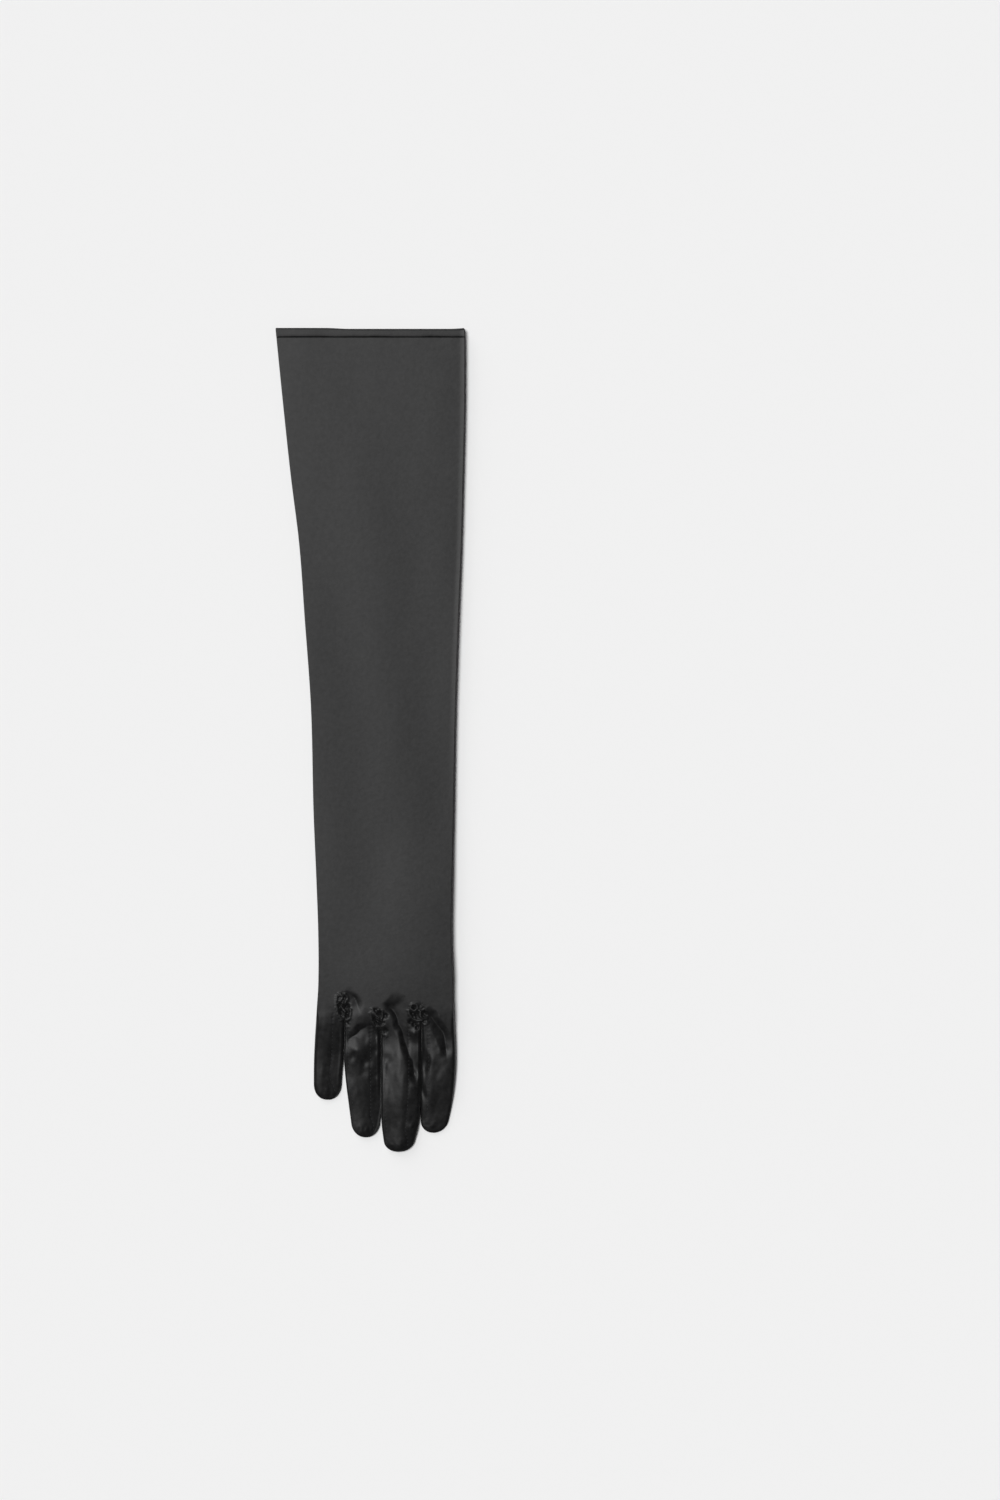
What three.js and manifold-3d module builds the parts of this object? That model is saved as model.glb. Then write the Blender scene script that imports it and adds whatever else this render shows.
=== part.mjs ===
// A long satin opera glove for the right hand, lying flat on its palm with the back of the hand up.
//
// Millimetres, +Z up. The origin is on the surface under the middle of the glove, +Y runs up the arm to
// the open cuff and +X points to the index-finger side. The cloth is a wall WALL thick round an open
// hollow. The trank is the sleeve, the hand and the backs and fronts of the fingers. Three fourchettes
// make the sides between the fingers, the thumb is set into a hole in the palm and lies folded under
// it, and a turned hem finishes the cuff.
import * as THREE from 'three';
import { mergeVertices } from 'three/addons/utils/BufferGeometryUtils.js';
import Module from 'manifold-3d';

// Driving dimensions
const LENGTH = 530;
const CUFF_WIDTH = 122;
const WALL = 1;
const SEAM_GAP = 0.4;
const SLEEVE_HEIGHT = 7.2;
const HAND_HEIGHT = 8;
const FINGER_HEIGHT = 8.5;

const CUFF_Y = LENGTH / 2;
const CUFF_SIDE = CUFF_WIDTH / 2;

// The turned hem is two layers of cloth, so it is thicker and stands a little proud of the sleeve.
// Its under side reaches a little further than its upper side.
const HEM_LENGTH = 5.8;
const HEM_WALL = 1.4;
const HEM_HEIGHT = SLEEVE_HEIGHT + HEM_WALL - WALL;
const HEM_SLANT = 0.9;
const SLEEVE_END_Y = CUFF_Y - HEM_LENGTH - SEAM_GAP;

// The edges and the height of the flattened tube from the cuff to the knuckles.
const BODY_STATIONS = [
  { y: CUFF_Y, left: -CUFF_SIDE, right: CUFF_SIDE, height: SLEEVE_HEIGHT },
  { y: 218, left: -56.3, right: 60.9, height: SLEEVE_HEIGHT },
  { y: 167, left: -50.8, right: 59.8, height: SLEEVE_HEIGHT },
  { y: 128, left: -45.9, right: 58.8, height: SLEEVE_HEIGHT },
  { y: 77, left: -42.1, right: 56.8, height: SLEEVE_HEIGHT },
  { y: 26, left: -38.4, right: 55.1, height: SLEEVE_HEIGHT },
  { y: -51, left: -36.3, right: 53.6, height: SLEEVE_HEIGHT },
  { y: -90, left: -34.6, right: 52.8, height: 7.5 },
  { y: -128, left: -33.3, right: 52.3, height: HAND_HEIGHT },
  { y: -154, left: -33.3, right: 53.3, height: HAND_HEIGHT },
  { y: -176, left: -34.3, right: 53.7, height: HAND_HEIGHT },
];
const BODY_END_Y = BODY_STATIONS.at(-1).y;

// Each finger's two edges from inside the hand to its tip, before the tip is rounded over roundTip.
const FINGERS = [
  {
    tipY: -231.5,
    roundTip: 10,
    stations: [
      { y: -150, left: -32.6, right: -18 },
      { y: -172, left: -34.3, right: -16.7 },
      { y: -192, left: -35.7, right: -16.7 },
      { y: -208, left: -36.5, right: -17.9 },
      { y: -232, left: -36.4, right: -19.2 },
    ],
  },
  {
    tipY: -255.7,
    roundTip: 9,
    stations: [
      { y: -150, left: -15.2, right: 5 },
      { y: -172, left: -16.2, right: 6.2 },
      { y: -192, left: -16.2, right: 6.5 },
      { y: -218, left: -15.8, right: 6.5 },
      { y: -239, left: -13.4, right: 6.2 },
      { y: -256, left: -11.8, right: 5.2 },
    ],
  },
  {
    tipY: -CUFF_Y,
    roundTip: 8,
    stations: [
      { y: -150, left: 7.8, right: 30 },
      { y: -176, left: 7, right: 32.2 },
      { y: -192, left: 7, right: 32.6 },
      { y: -214, left: 7, right: 32.8 },
      { y: -241, left: 7.2, right: 31.2 },
      { y: -265, left: 9.6, right: 26.8 },
    ],
  },
  {
    tipY: -252.8,
    roundTip: 8,
    stations: [
      { y: -150, left: 32.6, right: 52.2 },
      { y: -174, left: 32.9, right: 53.6 },
      { y: -192, left: 33.2, right: 54.7 },
      { y: -212, left: 33.3, right: 54.8 },
      { y: -239, left: 33.2, right: 51.4 },
      { y: -253, left: 33.4, right: 48.4 },
    ],
  },
];
const FINGER_START_Y = FINGERS[0].stations[0].y;

// One fourchette between each two neighbours. On the back its seams lie over mm in from each finger's
// edge and on the palm under mm, because the fingers have rolled a little on their sides.
const FOURCHETTES = [
  {
    pair: 'little_ring',
    slotX: -16.5,
    crotchY: -174,
    first: { over: 7.4, under: 5 },
    second: { over: 2.6, under: 4 },
  },
  {
    pair: 'ring_middle',
    slotX: 6.8,
    crotchY: -183,
    first: { over: 6.8, under: 10 },
    second: { over: 2.6, under: 6 },
  },
  {
    pair: 'middle_index',
    slotX: 33,
    crotchY: -179,
    first: { over: 7.6, under: 10 },
    second: { over: 4.6, under: 10 },
  },
];
const FOURCHETTE_APEX = 9;
const FOURCHETTE_SHORT_OF_TIP = 5;
const FOURCHETTE_TAPER = 12;
const LEG_OVERLAP = 0.05;

// The knots of puckered cloth where the seams meet at each crotch.
const GATHERS = [
  { x: -17.5, y: -169, radius: 5.5, height: 1.5 },
  { x: 5.2, y: -179, radius: 5.5, height: 1.5 },
  { x: 30.6, y: -174, radius: 6, height: 1.5 },
];
const PUCKER_FOLDS = 5;
const PUCKER_SHARE = 0.35;

// The soft creases pressed into the back of the hand and fingers, each along a short line.
const CREASES = [
  { fromX: -12, fromY: -163, toX: -6, toY: -173, width: 3.2, depth: 1.1 },
  { fromX: -24, fromY: -171, toX: -32, toY: -187, width: 3.4, depth: 0.9 },
  { fromX: -12, fromY: -190, toX: -3, toY: -180, width: 3.2, depth: 1.3 },
  { fromX: -12, fromY: -205, toX: 1, toY: -208, width: 3, depth: 1.1 },
  { fromX: 12, fromY: -168, toX: 22, toY: -163, width: 4, depth: 0.8 },
  { fromX: 11, fromY: -176, toX: 24, toY: -203, width: 3.2, depth: 1.5 },
  { fromX: 25, fromY: -205, toX: 31, toY: -217, width: 3.2, depth: 1.3 },
  { fromX: 37, fromY: -178, toX: 48, toY: -192, width: 3.2, depth: 1.5 },
  { fromX: 35, fromY: -205, toX: 36, toY: -224, width: 3, depth: 1 },
];

// The thumb: a flat sock in its own frame, from its root past the palm's hole to its tip along -Y.
const THUMB_PLACE = new THREE.Vector3(35, -104, 0);
const THUMB_TURN = THREE.MathUtils.degToRad(-15);
const THUMB_HEIGHT = 3;
const THUMB_ROOT_Y = 18;
const THUMB_TIP_Y = -66;
const THUMB_ROUND = 12;
const THUMB_STATIONS = [
  { y: THUMB_ROOT_Y, left: -11.5, right: 11.5 },
  { y: 0, left: -13, right: 13 },
  { y: -30, left: -12.2, right: 12.2 },
  { y: THUMB_TIP_Y, left: -10, right: 10 },
];
const THUMB_HOLE = { halfWidth: 9, halfLength: 14 };
// The palm lies over the thumb: this high above its footprint, easing down to the surface around it.
const THUMB_LIFT = THUMB_HEIGHT + SEAM_GAP;
const THUMB_CLEAR = 15.5;
const THUMB_EASE = 10;
const TOP_LIFT_SHARE = 0.7;

// How finely the flattened tubes are divided round and along. FOLD_STEPS is even.
const FOLD_STEPS = 4;
const BODY_COLUMNS = 12;
const FINGER_COLUMNS = 4;
const THUMB_COLUMNS = 3;
const HAND_Y = -60;
const SLEEVE_STEP = 55;
const HAND_STEP = 11;
const KNUCKLE_Y = -150;
const KNUCKLE_STEP = 5.5;
const FINGER_STEP = 9;
const THUMB_STEP = 20;
const KNUCKLE_ROUND = 9;
const FINGER_GROWS_OVER = 16;
const FINGER_START_SHARE = 0.7;
const ROUND_END_SHARES = [0.5, 0.15, 0];
const LEAST_END_SHARE = 0.25;

const { clamp, lerp, smoothstep } = THREE.MathUtils;
const wasm = await Module();
wasm.setup();

// A column of a station table at y, on a smooth curve through the rows, which run towards -Y.
function along(rows, y, column) {
  const last = rows.length - 1;
  if (y >= rows[0].y) return rows[0][column];
  if (y <= rows[last].y) return rows[last][column];
  const next = rows.findIndex((row) => row.y <= y);
  const slope = (index) => {
    const before = rows[Math.max(index - 1, 0)];
    const after = rows[Math.min(index + 1, last)];
    return (after[column] - before[column]) / (after.y - before.y);
  };
  const span = rows[next].y - rows[next - 1].y;
  const t = (y - rows[next - 1].y) / span;
  const ease = t * t * (3 - 2 * t);
  const bend = slope(next - 1) * t * (1 - t) ** 2 - slope(next) * t * t * (1 - t);
  return lerp(rows[next - 1][column], rows[next][column], ease) + span * bend;
}

// 0 at the very end of a round end, rising to 1 where it is reach away.
function roundEnd(distance, reach) {
  const rest = 1 - clamp(distance / reach, 0, 1);
  return Math.sqrt(1 - rest * rest);
}

// The distance in plan from a point to a line between two others.
function toLine(x, y, { fromX, fromY, toX, toY }) {
  const dx = toX - fromX;
  const dy = toY - fromY;
  const share = clamp(((x - fromX) * dx + (y - fromY) * dy) / (dx * dx + dy * dy), 0, 1);
  return Math.hypot(x - fromX - share * dx, y - fromY - share * dy);
}

// Evenly spaced values from one to another, both included.
function spread(from, to, step) {
  const count = Math.ceil(Math.abs(to - from) / step);
  return Array.from({ length: count + 1 }, (unused, i) => lerp(from, to, i / count));
}

// How far the thumb underneath holds the palm up.
const thumbMatrix = new THREE.Matrix4()
  .makeRotationZ(THUMB_TURN)
  .setPosition(THUMB_PLACE);
const thumbRoot = new THREE.Vector3(0, THUMB_ROOT_Y - THUMB_ROUND, 0).applyMatrix4(thumbMatrix);
const thumbTip = new THREE.Vector3(0, THUMB_TIP_Y + THUMB_ROUND, 0).applyMatrix4(thumbMatrix);
const thumbLine = { fromX: thumbRoot.x, fromY: thumbRoot.y, toX: thumbTip.x, toY: thumbTip.y };
function lift(x, y) {
  const distance = toLine(x, y, thumbLine);
  return THUMB_LIFT * (1 - smoothstep(distance, THUMB_CLEAR, THUMB_CLEAR + THUMB_EASE));
}

// How deep the creases are pressed into the back.
function crease(x, y) {
  return CREASES.reduce((deepest, row) => {
    const pressed = row.depth * Math.exp(-((toLine(x, y, row) / row.width) ** 2));
    return Math.max(deepest, pressed);
  }, 0);
}

// How high the knots of gathered cloth stand, with their puckers.
function gather(x, y) {
  return GATHERS.reduce((sum, row) => {
    const share = Math.exp(-((Math.hypot(x - row.x, y - row.y) / row.radius) ** 2));
    const pucker = Math.cos(PUCKER_FOLDS * Math.atan2(y - row.y, x - row.x));
    return sum + row.height * share * (1 + PUCKER_SHARE * pucker);
  }, 0);
}

// A ring round a flattened tube: along the floor, up the right fold, back over the top, down the left.
function flatRing({ y, left, right, middle, height }, columns) {
  const fold = Math.min(height, right - left) / 2;
  const points = [];
  for (let i = 0; i < columns; i++) {
    points.push(new THREE.Vector3(lerp(left + fold, right - fold, i / columns), y, middle - height / 2));
  }
  for (let i = 0; i < FOLD_STEPS; i++) {
    const angle = (Math.PI * i) / FOLD_STEPS;
    const out = fold * Math.sin(angle);
    points.push(new THREE.Vector3(right - fold + out, y, middle - (height / 2) * Math.cos(angle)));
  }
  for (let i = 0; i < columns; i++) {
    points.push(new THREE.Vector3(lerp(right - fold, left + fold, i / columns), y, middle + height / 2));
  }
  for (let i = 0; i < FOLD_STEPS; i++) {
    const angle = (Math.PI * i) / FOLD_STEPS;
    const out = fold * Math.sin(angle);
    points.push(new THREE.Vector3(left + fold - out, y, middle + (height / 2) * Math.cos(angle)));
  }
  return points;
}

// A closed skin over rings that follow one another towards -Y. Each end is closed by a ladder whose
// rungs join the ring's two sides: rung 0 runs from point 0 to point firstTop.
function loft(rings, firstTop) {
  const count = rings[0].length;
  const index = [];
  for (let row = 0; row + 1 < rings.length; row++) {
    for (let i = 0; i < count; i++) {
      const a = row * count + i;
      const b = row * count + ((i + 1) % count);
      index.push(a, b, a + count, b, b + count, a + count);
    }
  }
  const wrap = (i) => (i + count) % count;
  const end = (rings.length - 1) * count;
  for (let rung = Math.ceil((firstTop - count) / 2); rung < Math.floor(firstTop / 2); rung++) {
    const low = wrap(rung);
    const lowNext = wrap(rung + 1);
    const top = wrap(firstTop - rung);
    const topNext = wrap(firstTop - rung - 1);
    if (low !== top) {
      index.push(low, top, lowNext, end + low, end + lowNext, end + top);
    }
    if (lowNext !== topNext) {
      index.push(lowNext, top, topNext, end + lowNext, end + topNext, end + top);
    }
  }
  return new THREE.BufferGeometry().setFromPoints(rings.flat()).setIndex(index);
}

// A flattened tube through sections, each { y, left, right, middle, height }. shape moves its points.
function tube(sections, columns, shape = () => {}) {
  const rings = sections.map((section) => {
    const ring = flatRing(section, columns);
    ring.forEach((point) => shape(point, section));
    return ring;
  });
  return loft(rings, 2 * columns + FOLD_STEPS);
}

// The cloth settled on what is under it: over the thumb, creased and gathered on its upper side.
function settle(point, { middle, height }) {
  const topShare = clamp((2 * (point.z - middle)) / height, 0, 1);
  const raised = gather(point.x, point.y) - crease(point.x, point.y);
  point.z += lift(point.x, point.y) * lerp(1, TOP_LIFT_SHARE, topShare) + topShare * raised;
}

// How much further than the hand's mean end the crotch nearest to x lies.
function crotchShift(x) {
  const [left, middle, right] = FOURCHETTES;
  const toMiddle = smoothstep(x, left.slotX, middle.slotX);
  const toRight = smoothstep(x, middle.slotX, right.slotX);
  return lerp(lerp(left.crotchY, middle.crotchY, toMiddle), right.crotchY, toRight) - BODY_END_Y;
}

// The sleeve and hand as a closed flattened tube from startY, inset from the cloth's outside.
function bodyTube(inset, startY) {
  const endY = BODY_END_Y + inset;
  const rows = [
    ...spread(startY, HAND_Y, SLEEVE_STEP),
    ...spread(HAND_Y - HAND_STEP, KNUCKLE_Y, HAND_STEP),
    ...spread(KNUCKLE_Y - KNUCKLE_STEP, endY + KNUCKLE_ROUND, KNUCKLE_STEP),
    ...ROUND_END_SHARES.map((share) => endY + share * KNUCKLE_ROUND),
  ];
  const sections = rows.map((y) => {
    const height = along(BODY_STATIONS, y, 'height');
    return {
      y,
      left: along(BODY_STATIONS, y, 'left') + inset,
      right: along(BODY_STATIONS, y, 'right') - inset,
      middle: height / 2,
      height: (height - 2 * inset) * Math.max(roundEnd(y - endY, KNUCKLE_ROUND), LEAST_END_SHARE),
    };
  });
  return tube(sections, BODY_COLUMNS, (point, section) => {
    point.y += crotchShift(point.x) * smoothstep(-point.y, -KNUCKLE_Y, -endY);
    settle(point, section);
  });
}

// One finger as a closed flattened tube, inset from the cloth's outside.
function fingerTube({ tipY, roundTip, stations }, inset) {
  const endY = tipY + inset;
  const reach = roundTip - inset;
  const rows = [
    ...spread(FINGER_START_Y, endY + reach, FINGER_STEP),
    ...ROUND_END_SHARES.map((share) => endY + share * reach),
  ];
  const sections = rows.map((y) => {
    const left = along(stations, y, 'left') + inset;
    const right = along(stations, y, 'right') - inset;
    const centre = (left + right) / 2;
    const tip = Math.max(roundEnd(y - endY, reach), LEAST_END_SHARE);
    const grown = smoothstep(-y, -FINGER_START_Y, -FINGER_START_Y + FINGER_GROWS_OVER);
    return {
      y,
      left: lerp(centre, left, tip),
      right: lerp(centre, right, tip),
      middle: FINGER_HEIGHT / 2,
      height: (FINGER_HEIGHT - 2 * inset) * tip * lerp(FINGER_START_SHARE, 1, grown),
    };
  });
  return tube(sections, FINGER_COLUMNS, settle);
}

// The thumb as a closed flattened tube in its own frame, inset from the cloth's outside.
function thumbTube(inset) {
  const startY = THUMB_ROOT_Y - inset;
  const endY = THUMB_TIP_Y + inset;
  const reach = THUMB_ROUND - inset;
  const rows = [
    ...ROUND_END_SHARES.map((share) => startY - share * reach).reverse(),
    ...spread(startY - reach, endY + reach, THUMB_STEP),
    ...ROUND_END_SHARES.map((share) => endY + share * reach),
  ];
  const sections = rows.map((y) => {
    const end = Math.max(Math.min(roundEnd(startY - y, reach), roundEnd(y - endY, reach)), LEAST_END_SHARE);
    return {
      y,
      left: (along(THUMB_STATIONS, y, 'left') + inset) * end,
      right: (along(THUMB_STATIONS, y, 'right') - inset) * end,
      middle: THUMB_HEIGHT / 2,
      height: THUMB_HEIGHT - 2 * inset,
    };
  });
  return tube(sections, THUMB_COLUMNS);
}

// An upright oval post in the thumb's frame, round the hole that joins the thumb to the hand.
function holePost(grow, lowZ, highZ) {
  const { halfWidth, halfLength } = THUMB_HOLE;
  const oval = new THREE.Shape();
  oval.absellipse(0, 0, halfWidth + grow, halfLength + grow, 0, 2 * Math.PI);
  const settings = { depth: highZ - lowZ, bevelEnabled: false, curveSegments: 9 };
  return new THREE.ExtrudeGeometry(oval, settings).translate(0, 0, lowZ);
}

// The space of one leg of a fourchette: the side of a finger from its apex to short of the tip, out to
// the middle of the slot between the finger and its neighbour.
function fourchetteLeg(finger, neighbour, outward, crotchY, { over, under }, grow) {
  const startY = crotchY + FOURCHETTE_APEX + grow;
  const endY = finger.tipY + FOURCHETTE_SHORT_OF_TIP - grow;
  const [side, facing] = outward > 0 ? ['right', 'left'] : ['left', 'right'];
  const rings = spread(startY, endY, FINGER_STEP).map((y) => {
    const opened = smoothstep(-y, -startY, -crotchY + FOURCHETTE_APEX);
    const closing = smoothstep(-y, -endY - FOURCHETTE_TAPER, -endY);
    const share = opened * lerp(1, LEAST_END_SHARE, closing);
    const edge = along(finger.stations, y, side);
    const outer = lerp(edge, along(neighbour.stations, y, facing), 0.5) + outward * LEG_OVERLAP;
    const palm = edge - outward * (under * share + grow);
    const back = edge - outward * (over * share + grow);
    const ring = [
      new THREE.Vector3(palm, y, -HAND_HEIGHT),
      new THREE.Vector3(outer, y, -HAND_HEIGHT),
      new THREE.Vector3(outer, y, 2 * HAND_HEIGHT),
      new THREE.Vector3(back, y, 2 * HAND_HEIGHT),
      new THREE.Vector3(back, y, FINGER_HEIGHT),
      new THREE.Vector3(palm, y, 0),
    ];
    return outward > 0 ? ring : ring.reverse();
  });
  return solidOf(loft(rings, outward > 0 ? 3 : 1));
}

// The whole space of a fourchette: a leg along each of the two fingers that it joins.
function fourchetteSpace(index, grow) {
  const { crotchY, first, second } = FOURCHETTES[index];
  const [one, other] = [FINGERS[index], FINGERS[index + 1]];
  return fourchetteLeg(one, other, 1, crotchY, first, grow)
    .add(fourchetteLeg(other, one, -1, crotchY, second, grow));
}

// A closed geometry as a solid that can be cut and joined.
function solidOf(geometry) {
  geometry.deleteAttribute('normal');
  geometry.deleteAttribute('uv');
  const merged = mergeVertices(geometry, 1e-4);
  return new wasm.Manifold(new wasm.Mesh({
    numProp: 3,
    vertProperties: merged.attributes.position.array,
    triVerts: new Uint32Array(merged.index.array),
  }));
}

// A cut solid as a named mesh of satin.
function satinMesh(name, solid) {
  const { vertProperties, triVerts } = solid.getMesh();
  const geometry = new THREE.BufferGeometry();
  geometry.setAttribute('position', new THREE.BufferAttribute(vertProperties, 3));
  geometry.setIndex(new THREE.BufferAttribute(triVerts, 1));
  geometry.computeVertexNormals();
  const satin = new THREE.MeshStandardMaterial({ color: 0x2b2b2d, roughness: 0.38, metalness: 0 });
  const mesh = new THREE.Mesh(geometry, satin);
  mesh.name = name;
  return mesh;
}

// The sleeve, hand and fingers as one hollow skin, open at the cuff.
function shell() {
  const outside = FINGERS.reduce(
    (solid, finger) => solid.add(solidOf(fingerTube(finger, 0))),
    solidOf(bodyTube(0, SLEEVE_END_Y)),
  );
  const inside = FINGERS.reduce(
    (solid, finger) => solid.add(solidOf(fingerTube(finger, WALL))),
    solidOf(bodyTube(WALL, SLEEVE_END_Y + HEM_LENGTH)),
  );
  return outside.subtract(inside);
}

function hemBand() {
  const ring = (inset, y) => ({
    y,
    left: along(BODY_STATIONS, y, 'left') + inset,
    right: along(BODY_STATIONS, y, 'right') - inset,
    middle: HEM_HEIGHT / 2,
    height: HEM_HEIGHT - 2 * inset,
  });
  const slant = (point, section) => {
    if (section.y >= CUFF_Y) {
      point.y -= (HEM_SLANT * point.z) / HEM_HEIGHT;
    }
  };
  const lowY = CUFF_Y - HEM_LENGTH;
  const outside = tube([ring(0, CUFF_Y), ring(0, lowY)], BODY_COLUMNS, slant);
  const bore = [ring(HEM_WALL, CUFF_Y + HEM_LENGTH), ring(HEM_WALL, lowY - HEM_LENGTH)];
  const inside = tube(bore, BODY_COLUMNS);
  return satinMesh('hem_band', solidOf(outside).subtract(solidOf(inside)));
}

function thumb() {
  const rimZ = THUMB_LIFT + WALL;
  const outside = solidOf(thumbTube(0)).add(solidOf(holePost(0, THUMB_HEIGHT / 2, rimZ)));
  const inside = solidOf(thumbTube(WALL)).add(solidOf(holePost(-WALL, THUMB_HEIGHT / 2, rimZ + WALL)));
  const mesh = satinMesh('thumb', outside.subtract(inside));
  mesh.position.copy(THUMB_PLACE);
  mesh.rotation.z = THUMB_TURN;
  return mesh;
}

const skin = shell();
const palmHole = holePost(SEAM_GAP, THUMB_LIFT - WALL, THUMB_LIFT + 2 * WALL).applyMatrix4(thumbMatrix);
const trank = FOURCHETTES.reduce(
  (solid, unused, index) => solid.subtract(fourchetteSpace(index, SEAM_GAP)),
  skin.subtract(solidOf(palmHole)),
);

const group = new THREE.Group();
group.add(satinMesh('trank', trank), hemBand(), thumb());
FOURCHETTES.forEach(({ pair }, index) => {
  group.add(satinMesh(`fourchette_${pair}`, skin.intersect(fourchetteSpace(index, 0))));
});

export default group;
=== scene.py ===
import math

import bpy
import numpy as np
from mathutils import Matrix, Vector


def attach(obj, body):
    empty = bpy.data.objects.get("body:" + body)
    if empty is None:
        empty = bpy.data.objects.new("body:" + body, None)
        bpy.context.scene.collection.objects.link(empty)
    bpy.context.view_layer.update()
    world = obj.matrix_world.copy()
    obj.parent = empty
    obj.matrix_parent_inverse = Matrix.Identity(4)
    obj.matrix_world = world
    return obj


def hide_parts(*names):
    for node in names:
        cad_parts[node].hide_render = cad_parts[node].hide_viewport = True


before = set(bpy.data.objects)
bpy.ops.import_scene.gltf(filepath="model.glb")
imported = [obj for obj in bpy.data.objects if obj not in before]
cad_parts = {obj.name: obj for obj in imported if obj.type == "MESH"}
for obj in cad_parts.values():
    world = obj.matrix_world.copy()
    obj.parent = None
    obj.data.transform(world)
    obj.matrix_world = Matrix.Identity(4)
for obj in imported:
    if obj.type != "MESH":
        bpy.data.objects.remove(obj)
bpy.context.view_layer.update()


def table(columns, *rows):
    """The rows of a table as dicts with the columns' names. A row may leave out the last columns."""
    return [dict(zip(columns.split(), row)) for row in rows]


# A long satin opera glove for the right hand, lying flat with the back of the hand up.
# The tables below are in millimetres in the frame's own axes: +Y up the arm, +X to the index finger.
MM = 0.001
CLOTH = 0.45
# The lines between the fingers are carried on up the glove from KNUCKLE_Y. The hand's outline passes into
# that of the outer fingers between there and OWN_EDGE_Y.
KNUCKLE_Y = -150.0
OWN_EDGE_Y = -172.0

# The sleeve and the hand, with the height of the cloth on their flat part.
BODY_STATIONS = table(
    "y left right height",
    (265, -61, 61, 5.6), (218, -56.3, 60.9, 5.6),
    (167, -50.8, 59.8, 5.6), (128, -45.9, 58.8, 5.6),
    (77, -42.1, 56.8, 5.7), (26, -38.4, 55.1, 5.9),
    (-51, -36.3, 53.6, 6.5), (-90, -34.6, 52.8, 7.1),
    (-128, -33.3, 52.3, 7.7), (-154, -33.3, 53.3, 8),
    (-176, -34.3, 53.7, 8),
)
# The folded edges of the sleeve and the hand: the width of their curve on the back (over) and on the palm
# (under), and how square it is, where 1 is a straight slope. A finger's palm side has its own width.
ROUND_EDGE = 2.2
EDGE_ROLLS = dict(over=dict(width=0.4, square=ROUND_EDGE), under=dict(width=9.0, square=1.35))
FINGER_UNDER_ROLL = 3.5
# The shares of the cloth's height at which the folds of the sleeve and of a finger lie.
FOLD_SHARE = 0.92
FINGER_FOLD_SHARE = 0.5
# A narrow ridge along a finger's right side, from start to end below the crotch.
RIDGE = dict(height=0.15, inward=2.1, width=0.7, start=0, full=6, fade=30, end=50)
# The right fold of the sleeve stands up a little.
RIM = dict(height=0.34, width=4.0, start=-60, full=60)

# Where the fingers part from the hand: how far above the crotches each change starts, and over how much.
EDGES_PART = dict(above=0, over=5)
SIDES_FALL = dict(above=5, over=5)
CRESTS_RISE = dict(above=2, over=8)
SHAPE_TURNS = dict(above=12, over=12)
HEIGHT_TURNS = dict(above=15, over=18)

# Each finger: the y of its tip and the length that is round, how far in from each edge the seams lie on the
# back (over) and the palm (under), how many columns of faces the back has left of, between and right of its
# seams, how wide its sides curve (rolls), where across it the top line runs (crest, 0 is left), how far the
# back falls from that line to the left and right (falls), its edges, and how high the top line is.
FINGERS = [
    dict(
        name="little", tip=-231.5, round_tip=10,
        over=(3.4, 7.8), under=(3.4, 5), columns=(9, 20, 22),
        rolls=(2.8, 2.0), crest=0.3, falls=(0.4, 1.3),
        edges=table(
            "y left right",
            (-150, -32.6, -17), (-172, -34.3, -16.5), (-192, -35.7, -16.6),
            (-204, -36.3, -17.2), (-213, -36.5, -18.1), (-232, -36.4, -19.2),
        ),
        tops=table(
            "y height",
            (-150, 8), (-166, 8.05), (-182, 7.7), (-200, 5.0), (-220, 3.2),
            (-232, 2.5),
        ),
    ),
    dict(
        name="ring", tip=-255.7, round_tip=9,
        over=(2.8, 6.8), under=(4, 10), columns=(9, 30, 20),
        rolls=(1.2, 3.0), crest=0.3, falls=(0.4, 2.3),
        edges=table(
            "y left right",
            (-150, -17, 6), (-172, -16.5, 6.7), (-192, -16.6, 6.9),
            (-204, -17, 6.9), (-218, -16, 6.9), (-239, -13.4, 6.8),
            (-256, -11.2, 5),
        ),
        tops=table(
            "y height",
            (-150, 8), (-166, 8.05), (-182, 7.7), (-190, 7.1), (-202, 6.9),
            (-216, 5.6), (-240, 4.0), (-256, 3.3),
        ),
    ),
    dict(
        name="middle", tip=-265, round_tip=6.5,
        over=(2.8, 8.2), under=(6, 10), columns=(9, 32, 22),
        rolls=(1.7, 2.6), crest=0.55, falls=(1.0, 1.6),
        edges=table(
            "y left right",
            (-150, 6, 31.6), (-176, 6.6, 32.8), (-192, 6.8, 33),
            (-214, 6.8, 33), (-235, 6.8, 32.2), (-247, 7.2, 31.1),
            (-265, 9.6, 26.4),
        ),
        tops=table(
            "y height",
            (-150, 8), (-166, 8.05), (-184, 7.6), (-192, 7.1), (-206, 7.4),
            (-228, 7.5), (-238, 6.9), (-250, 5.6), (-265, 4.4),
        ),
    ),
    dict(
        name="index", tip=-252.8, round_tip=8,
        over=(4.6, 3.4), under=(10, 3.4), columns=(14, 28, 9),
        rolls=(2.2, 2.6), crest=0.35, falls=(0.4, 0.6),
        edges=table(
            "y left right",
            (-150, 31.6, 52.2), (-174, 32.8, 53.6), (-192, 33, 54.7),
            (-212, 33, 54.8), (-235, 32.2, 52.3), (-253, 32.4, 48.4),
        ),
        tops=table(
            "y height",
            (-150, 8), (-166, 8.05), (-184, 7.6), (-196, 7.0), (-214, 6.3),
            (-226, 5.2), (-240, 3.1), (-253, 2.2),
        ),
    ),
]

# A finger's back falls from its top line with CREST_POWER of the distance. Above the crotches the fall fades
# with JOINED_POWER towards its sides, where the fingers' strips are joined.
CREST_POWER = 1.5
JOINED_POWER = 4
# The least share of its height that a finger keeps at its tip.
TIP_FLOOR = 0.1

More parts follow.
